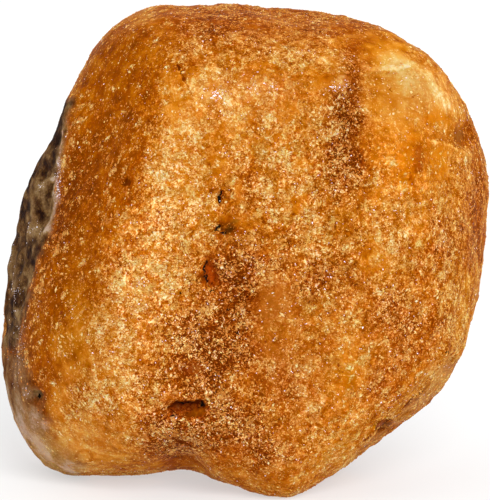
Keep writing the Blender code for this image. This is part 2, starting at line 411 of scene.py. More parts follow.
# A mark is its middle, half sizes, turn in degrees and strength.
# Lightness of the crust and the bare amber, as the square root of its brightness
# Besides the amber's own colour, these marks paint light and shade: the crest and the bumps under the top
# edge are partly painted highlights, the top edge, the right side and the marks named shade are painted
# shade
toneMarks = {
    "upper left bump": (205, 88, 24, 14, 10, 0.045), "upper middle bump": (262, 80, 22, 13, 0, 0.10),
    "crest top": (170, 104, 9, 14, 0, 0.07), "above the chip": (378, 46, 30, 12, 20, 0.06),
    "orange side": (395, 140, 30, 16, 0, 0.025), "upper right bump": (330, 62, 18, 10, 0, 0.05),
    "upper right corner": (412, 74, 46, 28, 35, 0.085), "pale streak": (440, 92, 14, 26, -35, 0.05),
    "chip": (388, 60, 24, 9, 10, 0.02), "right glow": (402, 236, 26, 30, 0, 0.025),
    "right shoulder": (261, 222, 13, 13, 0, 0.09), "beside the gold": (384, 222, 12, 14, 0, -0.05),
    "right brown": (438, 240, 18, 30, 0, -0.06), "low right shade": (396, 306, 32, 32, 0, -0.04),
    "outer glow": (410, 220, 14, 14, 0, 0.07), "middle glow": (292, 200, 30, 40, 0, 0.07),
    "lower left glow": (58, 432, 28, 24, 0, 0.11), "left foot": (76, 456, 38, 16, 0, 0.11),
    "crest foot": (125, 398, 40, 36, 0, 0.035), "below the valley": (233, 378, 12, 12, 0, 0.07),
    "valley right side": (264, 350, 10, 24, 0, 0.03), "crest side": (122, 305, 22, 34, 0, 0.04),
    "lower right glow": (350, 330, 16, 40, 0, 0.03), "top left shade": (108, 50, 28, 24, 0, -0.04),
    "top left glow": (142, 24, 18, 13, 0, 0.10), "left crumbs": (170, 222, 12, 12, 0, -0.11),
    "crest inside": (202, 200, 11, 26, 0, 0.07), "crest heart low": (146, 385, 18, 24, 0, -0.04),
    "top streak": (214, 24, 36, 12, 0, -0.12), "top middle": (250, 37, 80, 8, 2, -0.04),
    "top spot": (294, 22, 22, 7, 0, 0.04), "top rim": (300, 22, 90, 12, 5, -0.04),
    "slit shade": (238, 198, 14, 20, 0, -0.06), "valley shoulder": (261, 262, 13, 13, 0, -0.05),
    "beside the crescent": (234, 286, 14, 28, 0, -0.02), "low centre": (290, 384, 22, 16, 0, -0.09),
    "bottom middle": (268, 456, 28, 14, 0, -0.08), "low": (312, 420, 22, 14, 0, -0.045),
    "arch": (176, 463, 30, 7, 0, -0.12), "right of the arch": (204, 458, 13, 9, 0, 0.115),
    "bottom edge": (280, 476, 90, 10, 0, -0.01), "right of the band": (352, 222, 14, 16, 0, 0.04),
    "gold heart": (384, 262, 14, 14, 0, 0.11), "right of the valley": (352, 340, 14, 14, 0, 0.04),
    "inside the lip": (388, 386, 26, 15, -45, -0.08), "beyond the lip": (438, 379, 10, 10, -45, 0.16),
    "crescent shade": (226, 272, 24, 18, 10, -0.13), "middle patch": (244, 292, 26, 20, 0, -0.12),
    "wedge shade": (192, 405, 34, 16, 0, -0.13), "spot shade": (193, 370, 26, 12, 0, -0.08),
    "valley patch": (238, 350, 30, 20, 0, -0.07), "valley foot": (222, 436, 34, 24, 0, -0.09),
    "notch": (174, 447, 26, 14, 0, -0.22), "right patch": (318, 280, 16, 12, 0, -0.09),
    "dark bar": (345, 118, 14, 34, 0, -0.075), "rim patch": (420, 155, 16, 22, 0, -0.05),
    "rim hollow": (462, 134, 12, 13, 0, -0.13), "right rim": (482, 240, 12, 60, 0, -0.06),
    "lower right patch": (445, 330, 30, 24, 0, -0.03), "top shade": (208, 56, 30, 14, 0, -0.06),
    "top edge": (260, 16, 150, 15, 3, -0.10), "left valley": (208, 344, 26, 36, 0, -0.18),
    "wedge foot": (166, 423, 24, 14, 0, -0.13), "lower right": (395, 350, 36, 60, 0, -0.07),
    "right side": (474, 205, 13, 84, 0, -0.10), "right edge": (488, 220, 7, 50, 0, 0.08),
    "right edge low": (470, 322, 10, 44, 0, 0.115), "valley right": (292, 302, 10, 16, 0, -0.03),
    "right hollow": (322, 342, 11, 16, 0, -0.04), "upper middle": (240, 96, 32, 20, 0, 0.105),
    "upper centre": (266, 138, 38, 30, 0, 0.13), "crest shoulder": (188, 192, 24, 42, 0, 0.12),
    "crest heart": (160, 276, 26, 42, 0, 0.087), "foot edge": (338, 456, 28, 12, 0, 0.09),
}
# Half width, fade at the ends, strength and path. The crest band is partly a painted highlight, the
# groove's band painted shade
toneBands = {
    "crest": (24, 60, 0.09, ((222, 60), (190, 90), (175, 112), (164, 150), (158, 200), (150, 250),
        (136, 300), (120, 350), (108, 400))),
    "brown band": (17, 36, -0.135, ((362, 30), (350, 90), (345, 150), (343, 185))),
    "lower brown band": (12, 40, -0.04, ((345, 240), (350, 265), (354, 310))),
    "groove": (3.5, 12, -0.09, ((174, 56), (180, 70), (186, 82), (193, 98))),
    "rim line": (7, 10, -0.09, ((388, 30), (408, 45), (430, 66))),
    "rim cream": (7, 14, 0.05, ((400, 50), (424, 70), (444, 92), (456, 112))),
    "gold band": (18, 60, 0.035, ((394, 50), (398, 120), (388, 200), (380, 275))),
    "left brown band": (9, 40, -0.08, ((257, 50), (254, 110), (244, 175))),
    "valley": (44, 90, -0.06, ((270, 225), (262, 300), (255, 400), (250, 470))),
}
# Lightness of the flank
flankMarks = {
    "foot": (60, 440, 32, 26, 0, 0.18), "left foot": (92, 458, 40, 16, 0, 0.16),
    "low": (66, 388, 26, 40, 0, 0.12), "middle": (82, 334, 20, 34, 0, 0.13),
    "top": (116, 46, 30, 20, 0, 0.01), "top glow": (143, 18, 15, 11, 0, 0.10),
    "upper edge": (84, 100, 13, 22, 20, 0.04), "scar edge": (60, 215, 18, 60, 20, -0.105),
    "heart": (98, 168, 26, 60, 15, -0.025), "left rim": (20, 380, 14, 40, 10, -0.06),
    "low brown": (42, 392, 9, 26, 0, -0.05), "shoulder": (113, 240, 14, 30, 15, 0.05),
}
# Share of pale crumbs
fleckMarks = {
    "upper right corner": (415, 78, 56, 44, 20, -0.62), "top rim": (250, 22, 150, 20, 3, -0.45),
    "above the chip": (372, 46, 32, 16, 15, -0.45), "valley foot": (270, 374, 26, 50, 0, -0.2),
    "crest top": (180, 85, 26, 34, -20, -0.35), "upper centre": (256, 98, 66, 34, 0, -0.25),
    "orange side": (404, 158, 42, 44, 0, -0.50), "low middle": (345, 378, 52, 66, 0, -0.34),
    "notch": (176, 438, 34, 20, 0, 0.4), "round pit floor": (234, 221, 14, 9, 0, -0.7),
    "valley floor": (282, 322, 18, 34, 0, -0.45), "right rim": (478, 220, 22, 90, 0, -0.35),
    "lower right": (420, 380, 40, 40, 40, -0.3), "bottom": (262, 478, 90, 20, 0, -0.5),
    "left foot": (80, 448, 66, 28, 0, -0.7), "arch": (180, 464, 40, 9, 0, -0.7),
    "crust heart": (165, 300, 60, 110, -10, 0.25), "right heart": (300, 200, 50, 80, 0, 0.15),
}
# Bare smooth amber between the crumbs
bareMarks = {
    "over the slit": (221, 165, 9, 7, 0, 0.9), "beside the slit": (233, 193, 7, 13, 5, 0.9),
    "over the round pit": (234, 220, 11, 7, 0, 0.9), "valley top": (263, 252, 13, 7, 0, 0.7),
    "valley": (272, 300, 19, 25, 0, 1.0), "valley middle": (262, 340, 12, 19, 0, 0.8),
    "valley foot": (247, 388, 8, 14, 0, 0.6), "right valley": (345, 372, 12, 30, 0, 0.6),
    "centre": (297, 203, 8, 7, 0, 0.8), "upper centre": (299, 164, 9, 7, 0, 0.7),
    "under the top": (262, 66, 12, 10, 0, 0.8), "upper middle": (285, 112, 15, 12, 0, 0.6),
    "crest side": (211, 150, 10, 16, 0, 0.5), "left of the band": (320, 83, 17, 12, 0, 0.9),
    "upper right": (392, 100, 30, 28, 0, 0.9), "above the chip": (370, 44, 22, 11, 15, 0.75),
    "pocket": (437, 114, 12, 13, 0, 0.9), "rim bare": (438, 160, 12, 16, 0, 1.0),
    "rim hollow": (460, 135, 13, 12, 0, 1.0), "crescent": (210, 273, 9, 19, -8, 1.0),
    "wedge": (187, 407, 22, 9, 0, 1.0), "spot": (195, 369, 13, 9, 0, 0.8),
    "gold": (382, 200, 10, 14, 20, 0.6), "gold low": (372, 256, 9, 12, 0, 0.6),
    "right low": (415, 300, 12, 14, 30, 0.5), "crest": (172, 108, 11, 22, -8, 0.7),
    "top left": (232, 128, 9, 13, 0, 0.5), "low": (300, 432, 18, 12, 0, 0.6),
    "low left": (238, 455, 16, 12, 0, 0.7), "right of the lip": (405, 378, 14, 10, -45, 0.6),
}
# Coarse crumbs with clear amber between them, as all over the flank
coarseMarks = {
    "low middle": (335, 370, 56, 72, 0, 0.8), "orange side": (412, 152, 34, 36, 0, 0.6),
    "lower right": (402, 372, 52, 50, -45, 0.9), "right": (425, 210, 36, 70, 0, 0.5),
    "low": (300, 420, 44, 36, 0, 0.5), "valley": (275, 330, 30, 50, 0, 0.45),
    "top": (270, 60, 90, 22, 0, 0.5), "notch": (180, 440, 44, 20, 0, 0.8),
    "upper right": (400, 110, 50, 30, 0, 0.3),
}
# Where the coarse crumbs thin out
thinMarks = {
    "top left": (112, 62, 56, 44, 0, 0.85), "left foot": (86, 438, 76, 40, 0, 0.9),
    "low flank": (84, 370, 36, 44, 0, 0.55),
}
# Brown that stays olive, not red
oliveMarks = {
    "notch": (150, 464, 50, 12, 0, 0.6), "bottom": (260, 478, 100, 18, 0, 0.8),
    "top": (240, 18, 160, 18, 3, 0.7), "right rim": (482, 230, 14, 90, 0, 0.6),
    "lip": (405, 400, 50, 14, -45, 0.8), "hollow": (460, 135, 16, 16, 0, 1.0),
}
# Creamy or dull amber, less orange than the rest
dullMarks = {
    "cloud": (436, 86, 26, 30, -35, 0.85), "upper left bump": (212, 90, 16, 12, 0, 0.5),
    "middle bump": (268, 86, 26, 12, 0, 0.8), "band": (342, 84, 14, 12, 0, 0.6),
    "notch": (176, 444, 36, 22, 0, 0.7), "bottom": (260, 472, 90, 20, 0, 0.45),
    "valley": (268, 300, 20, 26, 0, 0.8), "wedge rim": (186, 424, 26, 8, 0, 0.5),
    "crest low": (134, 300, 36, 84, -12, 0.2), "mid top": (250, 100, 56, 28, 0, 0.45),
    "valley side": (286, 364, 34, 34, 0, 0.35), "upper right": (400, 100, 40, 44, 0, 0.25),
    "flank foot": (58, 386, 22, 34, 0, 0.45), "lower left": (80, 445, 50, 26, 0, 0.75),
    "low": (110, 400, 30, 30, 0, 0.2), "top": (240, 20, 120, 20, 3, 1.0),
    "right rim": (482, 230, 14, 90, 0, 0.5),
}
# Shade in the hollows
hollowMarks = {
    "round pit": (227, 228.0, 9, 5.5, 5, 0.24), "crescent ring": (216.5, 272, 3, 15, -8, 0.09),
    "slit": (220, 197, 4, 8, 0, 0.12), "crescent": (206, 274, 4, 16, -10, 0.12),
    "lip recess": (387, 427, 9, 4, -35, 0.12), "corner": (36, 395, 6, 5, 0, 0.10),
    "flank pit": (124.5, 182, 6, 4, 0, 0.10), "rim patch": (420, 155, 5, 12, 0, 0.08),
    "rim hollow": (461, 136, 10, 10, 0, 0.06), "under the chip": (382, 77, 20, 4, 0, 0.06),
    "pocket line": (426.5, 113, 2.4, 11, -5, 0.10), "hollow side": (450, 134, 2.4, 7, -20, 0.08),
}
# The skin's plain values, and how they vary
plain = {"tone": 0.514, "fleck": 0.76, "flankTone": 0.354, "flankFleck": 0.14}
uneven = {
    "stray": 5.0,                    # pixels that the outline of a mark strays
    "streaks": (0.075, -0.03),       # flow layers on the sides and the back: strength, and what is added
    "streakRun": (1.0, 0.35, 0.35),  # they run through the body, longest where this is least
    "farFleck": 0.35, "fleck": 0.12, "tone": 0.016,
    "farBare": (0.7, 1.3),           # bare amber at the back, between these values of its noise
    "brown": (8.0, 0.4),             # how fast it grows below the plain tone, and its share at the back
    # turned: painted shade, darker toward the outline where the surface turns away from the camera
    "turned": (0.6, 0.1, 0.04),      # a side that turns away darkens between these facings, by this much
    "thinFleck": 0.6,                # how much fewer crumbs the flank has where it thins
}
# What lies behind the broken lip at the lower right
lip = {
    "edge": 3.0, "rows": (346.0, 368.0), "columns": (330.0, 360.0),
    "dull": 0.5, "tone": 0.02, "fleck": -0.2, "dirt": 0.28, "dirtLight": 1.5,
}

strayX, strayY = px + uneven["stray"] * wobble, py + uneven["stray"] * ragged
# Own colour with painted highlights and painted shade, from the marks and bands
tone = plain["tone"] + front * (blots(strayX, strayY, toneMarks) + bands(strayX, strayY, toneBands))
streaks = roughNoise(square * np.array(uneven["streakRun"]), *grain["streak"])
tone += back * (uneven["streaks"][0] * streaks + uneven["streaks"][1])
fleck = plain["fleck"] + front * blots(px, py, fleckMarks)
fleck += back * uneven["farFleck"] * roughNoise(square, *grain["farFleck"])
fleck += uneven["fleck"] * roughNoise(square, *grain["fleck"])
farBare = between(roughNoise(square, *grain["farBare"]), *uneven["farBare"])
fleck *= 1.0 - clipped(front * blots(strayX, strayY, bareMarks) + back * farBare)
# Where the crust is brown, its darks are redder and its crumbs pinker
brown = clipped(front * uneven["brown"][0] * (plain["tone"] - tone))
brown = brown * (1.0 - front * blots(px, py, oliveMarks)) + back * uneven["brown"][1]
# Painted shade: darker where the surface turns away from the camera
tone -= uneven["turned"][2] * between(facing, *uneven["turned"][:2])
flankTone = plain["flankTone"] + front * blots(strayX, strayY, flankMarks)
behindLip = front * halfStep(offPath(px, py, steps["lower right lip"][3])[0], lip["edge"])
behindLip *= between(py + uneven["stray"] * wobble, *lip["rows"])
behindLip *= between(px + uneven["stray"] * ragged, *lip["columns"])
scarOff = leftBy(scar["edge"], px + scarLipLook["wander"] * ragged, py) - scarLipLook["middle"]
scarLip = np.exp(-(scarOff / scarLipLook["halfWidth"]) ** 2) * leftSide
scarLip *= between(py, *scarLipLook["top"]) * between(py, *scarLipLook["foot"])
tone += flankShare * (flankTone - tone) + scarLipLook["tone"] * scarLip + lip["tone"] * behindLip
tone += uneven["tone"] * (roughNoise(square, *grain["tone"]) + ragged)
tone -= front * blots(px, py, hollowMarks)
thin = clipped(front * blots(px, py, thinMarks))
coarse = clipped(np.maximum(flankShare, front * blots(px, py, coarseMarks))) * (1.0 - thin)
fleck += flankShare * (plain["flankFleck"] * (1.0 - uneven["thinFleck"] * thin) - fleck)
fleck = clipped(fleck + lip["fleck"] * behindLip) * (1.0 - scarShare)
dull = front * blots(px, py, dullMarks) + scarLip + lip["dull"] * behindLip
pinkness = clipped(brown * (1.0 - flankShare) + dull)
rimDirt = leftOf(rim["path"], px + rim["wander"] * wobble, py, rim["softness"]) * leftSide
rimDirt *= between(py, *rim["top"]) * between(strayBack, *rim["back"])
rimDirt *= 1.0 - rim["thin"][2] * between(py, *rim["thin"][:2])
dirt = np.max([scarShare, rim["share"] * rimDirt, lip["dirt"] * behindLip,
               scarLipLook["dirt"] * scarLip * halfStep(ragged, 1.0)], axis=0)

# Painted shade: a side that gets less of the key light is given a deeper, more saturated colour of the
# same brightness:
# it is taken lower on the ramps and raised again by the gain
paintedShading = {
    "share": 0.30, "toward": (0.21, -0.86, 0.47), "full": 0.92,
    "facing": (0.4, 0.75),           # facings where this starts and is full
    # Where the picture's amber is brighter or duller for its colour
    "marks": {"upper right": (410, 82, 56, 44, 0, 0.30), "crest": (142, 268, 44, 130, -8, -0.21),
        "centre": (292, 205, 60, 90, 0, -0.07), "orange side": (402, 158, 42, 40, 0, -0.20),
        "low flank": (78, 346, 34, 76, 10, 0.27), "left foot": (88, 446, 60, 30, 0, 0.27),
        "notch": (180, 448, 40, 22, 0, 0.20), "valley side": (286, 364, 34, 34, 0, 0.12),
        "cloud": (442, 86, 22, 30, -35, 0.26), "bottom": (250, 472, 90, 24, 0, 0.20),
        "right": (440, 270, 40, 70, 0, -0.07), "flank": (98, 190, 34, 130, 14, 0.17),
        "top left": (124, 46, 40, 34, 0, 0.08), "valley": (270, 300, 22, 30, 0, 0.28),
        "top": (240, 22, 130, 16, 3, 0.36), "brown band": (345, 118, 15, 60, 0, 0.32)},
}
# Heights in mm
relief = {
    "lumps": 0.055, "flankLumps": 0.5,                # the body's unevenness, flatter on the flank
    "crust": 0.045, "bareCrust": 0.25,                # the crumbs' unevenness, less on bare amber
    "scar": 0.055, "scarRise": 0.09, "scarLumps": 0.09,
    "scarRun": (1.0, 0.45, 1.0),     # the dirt's noise runs long from front to back
    "pitWander": 1.4, "stepWander": 0.8,              # pixels that the outlines of pits and steps stray
    "farPitWander": (1.5, 0.1),      # degrees and mm that those at the back stray
    "pitWalls": (1.15, 0.65), "farPitWalls": (1.2, 0.5),     # where a wall starts and ends, in half sizes
}
# Lumps and gaps of the scar's dirt, in its own lightness; the gaps are darker partly as painted shade
scarMarks = {
    "tan lump": (44, 188, 6, 8, 10, 1.7), "grey lump": (37, 229, 7, 7, 0, 1.5),
    "dark gap": (57, 139, 4, 9, 20, -2.0), "upper gap": (43, 164, 6, 7, 30, -1.3),
    "gap": (31, 183, 4, 9, 25, -1.5), "middle gap": (27, 208, 5, 8, 0, -1.4),
    "left gap": (13, 246, 4, 10, 0, -0.9), "left light": (20, 220, 6, 10, 0, 1.8),
    "low light": (18, 262, 5, 9, 0, 1.6), "low gap": (29, 258, 5, 8, 30, -1.3),
    "low lump": (22, 282, 5, 10, 10, 0.9), "foot gap": (12, 300, 5, 14, 0, -0.8),
    "top": (68, 118, 5, 14, 20, 0.5),
}
# How much further out the outline stands than the plain body:
# degrees round the picture's middle from the right, mm
outline = ((0, -0.05), (15, 0.15), (25, 0.2), (35, 0.0), (50, -0.2), (58, -0.05), (67, 0.15), (75, 0.0),
        (85, 0.2), (95, 0.0), (105, -0.1), (120, 0.28), (135, 0.0), (150, 0.05), (165, 0.28), (172, 0.24),
        (180, 0.48), (195, 0.46), (205, 0.32), (215, 0.15), (227, 0.45), (235, -0.05), (245, -0.05),
        (255, -0.22), (262, 0.27), (270, 0.1), (285, 0.16), (297, 0.24), (310, 0.25), (320, 0.05),
        (330, 0.2), (340, 0.02))
# Steep pits: middle, half sizes in pixels, turn, depth in mm
pits = {
    "upper slit": (219.8, 197, 2.8, 7.0, 0, -0.35), "round pit": (224.5, 229, 8.5, 5.2, 5, -0.35),
    "crescent": (209.6, 273, 6.6, 16.5, -10, -0.42), "wedge": (183, 408, 15.5, 7.0, -10, -0.65),
    "wedge end": (199, 404.5, 7.0, 4.0, -10, -0.45), "wedge foot": (194, 411, 12.0, 5.0, -12, -0.25),
    "bubble": (82, 458.5, 8.0, 7.0, -25, -0.08), "groove": (184, 78, 3.5, 21.0, -24, -0.12),
    "flank pit": (125, 182, 4.0, 3.2, 0, -0.16), "corner pit": (38, 395, 5.0, 4.5, 0, -0.30),
    "small pit": (180, 292, 3.0, 3.0, 0, -0.15), "lip recess": (382, 425, 11.0, 6.0, -40, -0.35),
    "rim hollow": (462, 134, 10.0, 12.0, 0, -0.35),
}
plainPits = ("rim hollow", "bubble", "groove")        # those that have the colour of what is round them
# Pits and dents on the sides and the back:
# degrees from the back toward the right, mm above the middle, half sizes, turn, depth
farPits = {
    "back hollow": (22, 5.5, 10, 2.4, 0, -0.30), "back dent": (-24, -3.5, 8, 1.7, 0, -0.26),
    "low pit": (6, -8.6, 2.6, 0.6, 0, -0.40), "right slit": (82, 3.2, 1.8, 1.1, 0, -0.38),
    "right dent": (62, -5.0, 7, 1.6, 0, -0.22), "right pit": (70, 8.4, 2.0, 0.5, 0, -0.35),
    "upper pit": (-38, 8.6, 2.4, 0.6, 0, -0.36), "left slit": (-30, 1.5, 3.2, 0.45, 0, -0.34),
    "small pit": (35, -2.0, 1.4, 0.35, 0, -0.25),
}
narrowPit = 1.2                      # those at the back that are lower than this are dark inside, mm


def stepRise(x, y):
    # Minus the depth on the left of each path, which gives way at its ends and past its reach
    total = np.zeros(len(x))
    for depth, width, reach, path in steps.values():
        off, along, length = offPath(x, y, path)
        ends = smoothStep(along / stepEnds) * smoothStep((length - along) / stepEnds)
        total -= depth * ends * halfStep(off, width) * (1.0 - smoothStep((off - width) / reach))
    return total


def pitShares(x, y, marks, walls):
    # For each pit 0 outside its walls and 1 on its floor
    return [between(offMiddle(x, y, mark), *walls) for mark in marks.values()]


def pitRise(shares, marks):
    # The sum of each pit's depth times its share
    return sum(mark[5] * share for mark, share in zip(marks.values(), shares))


pitEdge = roughNoise(square, *grain["pitEdge"])
pitEdgeDown = roughNoise(square, *grain["pitEdgeDown"])
shares = pitShares(px + relief["pitWander"] * pitEdge, py + relief["pitWander"] * pitEdgeDown,
                   pits, relief["pitWalls"])
pitShade = front * np.max([share for share, name in zip(shares, pits) if name not in plainPits], axis=0)
rise = front * (pitRise(shares, pits)
                + stepRise(px + relief["stepWander"] * ragged, py + relief["stepWander"] * pitEdge))
strayTurn, strayUp = relief["farPitWander"]
backTurn = np.degrees(np.arctan2(square[:, 0], square[:, 1])) + strayTurn * pitEdge
shares = pitShares(backTurn, square[:, 2] + strayUp * pitEdge, farPits, relief["farPitWalls"])
rise += back * pitRise(shares, farPits)
narrow = [share * (mark[3] < narrowPit) for share, mark in zip(shares, farPits.values())]
pitShade += back * np.max(narrow, axis=0)
rise += relief["lumps"] * roughNoise(square, *grain["lumps"]) * (1.0 - relief["flankLumps"] * flankShare)
rise += relief["crust"] * roughNoise(square, *grain["crust"]) * (relief["bareCrust"] + fleck)
# Painted shade: how far each point turns from the key light sets its deeper colour
shaded = 1.0 - np.maximum(normals @ np.array(paintedShading["toward"]), 0.0) / paintedShading["full"]
lit = blots(px, py, paintedShading["marks"]) - paintedShading["share"] * shaded
lit = 1.0 + lit * (1.0 - dirt) * between(facing, *paintedShading["facing"])
tone *= np.sqrt(lit)
angle = np.degrees(np.arctan2(pixelMiddle()[1] - py, px - pixelMiddle()[0]))
rise += np.interp(angle, *np.array(outline).T, period=360) * (1.0 - abs(facing)) ** 2
# The dirt's own lightness and relief
dirtLight = {"scar": -0.2, "far": (0.3, -0.4)}        # what is added, and at the back times its own
dirtNoise = roughNoise(square * np.array(relief["scarRun"]), *grain["dirt"])
# The scar's lumps lighten and its gaps darken its dirt, the gaps partly as painted shade
lumps = blots(px, py, scarMarks)
rise += scarShare * (relief["scarRise"] + relief["scar"] * dirtNoise + relief["scarLumps"] * front * lumps)
rimLight = rim["light"][0] + rim["light"][1] * between(py, *rim["lightRows"])
rough = dirtNoise + rimLight * rimDirt * (1.0 - scarShare) + lumps + dirtLight["scar"] * scarShare
rough += (scarLipLook["dirtLight"] * scarLip * (1.0 + scarLipLook["uneven"] * ragged)
          + lip["dirtLight"] * behindLip + back * (dirtLight["far"][0] + dirtLight["far"][1] * rough))
shaped = base + normals * rise[:, None]
shaped[:, 2] = np.maximum(shaped[:, 2], 0.0)          # nothing reaches below the table
body.data.vertices.foreach_set("co", (shaped * mm).astype(np.float32).ravel())
body.data.update()
# gain raises the colour again where the painted shade takes it lower on the ramps
stored = {"tone": tone, "front": front, "fleck": fleck, "brown": brown, "pinkness": pinkness,
          "coarse": coarse, "dirt": dirt, "pit": pitShade, "rough": rough, "gain": 1.0 / lit}
for name, values in stored.items():
    storeShare(body, name, values)
print("relief and marks stored")


class Value:
    # A socket that Python's arithmetic works on: each step adds a Math node
    def __init__(self, tree, socket):
        self.tree, self.socket = tree, socket

    def maths(self, operation, *others, first=None):
        node = self.tree.nodes.new("ShaderNodeMath")
        node.operation = operation
        values = (self, *others) if first is None else (first, self)
        for place, value in zip(node.inputs, values):
            feed(self.tree, place, value)
        return Value(self.tree, node.outputs[0])

    def __add__(self, other): return self.maths("ADD", other)
    def __radd__(self, other): return self.maths("ADD", first=other)
    def __sub__(self, other): return self.maths("SUBTRACT", other)
    def __rsub__(self, other): return self.maths("SUBTRACT", first=other)
    def __mul__(self, other): return self.maths("MULTIPLY", other)
    def __rmul__(self, other): return self.maths("MULTIPLY", first=other)
    def __abs__(self): return self.maths("ABSOLUTE")


def feed(tree, place, value):
    # A Value is linked to a socket, and anything else is set on it
    if isinstance(value, Value):
        tree.links.new(value.socket, place)
    else:
        place.default_value = value


def colour(code, strength=1.0):
    # A hex colour as the linear values that nodes take
    parts = np.array([int(code[i:i + 2], 16) for i in (1, 3, 5)]) / 255.0
    linear = np.where(parts < 0.04045, parts / 12.92, ((parts + 0.055) / 1.055) ** 2.4)
    return (*(linear * strength), 1.0)


class Finish:
    # A material and its nodes
    def __init__(self, name):
        self.material = bpy.data.materials.new(name)
        self.material.use_nodes = True
        self.tree = self.material.node_tree
        self.tree.nodes.clear()

    def node(self, kind, settings=None, values=None, out=0):
        # Settings are set first, then the values or links of the sockets, by name or number
        node = self.tree.nodes.new(kind)
        for name, setting in (settings or {}).items():
            if name == "stops":
                while len(node.color_ramp.elements) < len(setting):
                    node.color_ramp.elements.new(0.5)
                for stop, (place, shade) in zip(node.color_ramp.elements, setting):
                    stop.position, stop.color = place, shade
            else:
                setattr(node, name, setting)
        for name, value in (values or {}).items():
            feed(self.tree, node.inputs[name], value)
        return Value(self.tree, node.outputs[out]) if node.outputs else None

    def share(self, name, out="Fac"):
        # A number or colour that the mesh carries for each point
        return self.node("ShaderNodeAttribute", {"attribute_name": name}, out=out)

    def vector(self, operation, values, out="Vector"):
        # One step of vector maths
        return self.node("ShaderNodeVectorMath", {"operation": operation}, values, out=out)

    def places(self):
        # Object coordinates in millimetres
        spots = self.node("ShaderNodeTexCoord", out="Object")
        return self.vector("SCALE", {0: spots, "Scale": 1.0 / mm})

    def noise(self, places, scale, detail=2.0, roughness=0.5, distortion=0.0, out=0):
        # Its scale is the number of waves to one unit of the places
        return self.node("ShaderNodeTexNoise", {"noise_dimensions": "3D"},
                         {"Vector": places, "Scale": scale, "Detail": detail,
                          "Roughness": roughness, "Distortion": distortion}, out)

    def step(self, value, low, high):
        # 3t^2 - 2t^3 between the two values
        return self.node("ShaderNodeMapRange", {"interpolation_type": "SMOOTHSTEP"},
                         {"Value": value, "From Min": low, "From Max": high})

    def mix(self, share, first, second, blend="MIX"):
        # The first colour where the share is 0, blended to the second where it is 1
        return self.node("ShaderNodeMix", {"data_type": "RGBA", "blend_type": blend},
                         {0: share, 6: first, 7: second}, out=2)

    def ramp(self, value, stops):
        # The stops' colours are darkened to what the light leaves to the surface
        shades = [(place, colour(code, amber["light"])) for place, code in stops]
        return self.node("ShaderNodeValToRGB", {"stops": shades}, {"Fac": value})

    def bump(self, height):
        # Height in mm
        return self.node("ShaderNodeBump", values={"Height": height, "Strength": 1.0, "Distance": mm})

    def surface(self, values):
        # The shader, from the values or links of its sockets
        shader = self.node("ShaderNodeBsdfPrincipled", values=values, out="BSDF")
        self.node("ShaderNodeOutputMaterial", values={"Surface": shader})


amber = {
    "light": 0.74,                   # share of the picture's colours that the light leaves to the surface
    # Smooth amber and crumbly crust from dark to pale, by the square root of brightness
    "goldStops": ((0.18, "#6A2800"), (0.27, "#803800"), (0.355, "#9C4A00"), (0.42, "#AF5E00"),
        (0.51, "#C87406"), (0.575, "#D88518"), (0.64, "#E29831"), (0.71, "#EAAE4D"), (0.80, "#F1C87A"),
        (0.90, "#F9DFA6")),
    "crustStops": ((0.20, "#6A2602"), (0.25, "#7E2F02"), (0.33, "#9A4107"), (0.40, "#B0570D"),
        (0.50, "#CC7427"), (0.59, "#DF8C3E"), (0.67, "#EBA453"), (0.76, "#F5C06E"), (0.84, "#FAD691"),
        (0.92, "#FEEAB8")),
    # Glassy amber inside the pits, and the scar's dirt, by their own lightness
    "emberStops": ((0.22, "#2E0C02"), (0.40, "#6E2402"), (0.54, "#9C3E06"), (0.70, "#C46416"),
        (0.90, "#E8A868")),
    "scarStops": ((0.12, "#24120A"), (0.34, "#4C2E16"), (0.54, "#76552F"), (0.74, "#96774E"),
        (0.95, "#C0A894")),
    "depth": (0.7, 0.36, 0.1),       # how far red, green and blue light travel under the surface, mm
    "ior": 1.54,
    "gloss": 0.004,                  # specular level: weathered matt, where clean resin has 0.5
    "bump": {"fine": 0.10, "worms": 0.025, "clumps": 0.08, "dirt": 0.1, "paintedPitShadow": -0.12},      # mm
    "roughness": {"plain": 0.45, "fine": 0.3, "coarse": -0.08, "dirt": 0.2},
}
# The body's finish: what its parts add to the lightness and to the pinkness, and how grainy it is
bodyLook = {
    "bare": 0.22,                    # share of its crumbs that is left between the clumps
    "covered": (0.8, -0.14, -0.05),  # share of the patches in the clumps, where crumbs start and are full
    # Contrast of its grains, how much more in brown, the least of it, how much less where it is coarse
    "grain": (1.75, 0.62, 0.06, 0.3),
    "salt": (9.0, 12.0),             # how much pale grains stand out, and how much less in pale tones
    "patches": (0.50, -0.27), "sparse": (0.08, 0.18),  # everywhere, and where it is coarse
    "clumps": (0.10, 0.74), "clustered": (0.4, 1.2),  # everywhere, and where it is crumbly
    # pit: painted shade in the pits; the thin dark lines are partly painted shadow
    "worms": 0.14, "clusters": 0.13, "pit": -0.14, "cracksAndShadowLines": -0.2, "rings": -0.11, "creams": 0.2,
    "pink": {"crumbs": 0.78, "sparse": (0.4, 0.4), "clusters": 0.4, "creams": 0.4, "skin": 0.55},
}
# Noise in the materials: waves to a millimetre, detail, roughness, distortion
crustNoise = {
    "fine": (5.5, 2.0, 0.6, 0.8), "worms": (3.3, 1.0, 0.5, 1.2), "clumps": (2.1, 1.0, 0.5, 0.3),
    "patches": (0.62, 2.0, 0.55), "sparse": (3.6, 3.0, 0.75), "clusters": (1.5, 4.0, 0.72),
    "dirt": (1.3, 3.0, 0.6), "stray": (1.9, 2.0),
}
strayPixels = 8.0                    # that the marks below stray
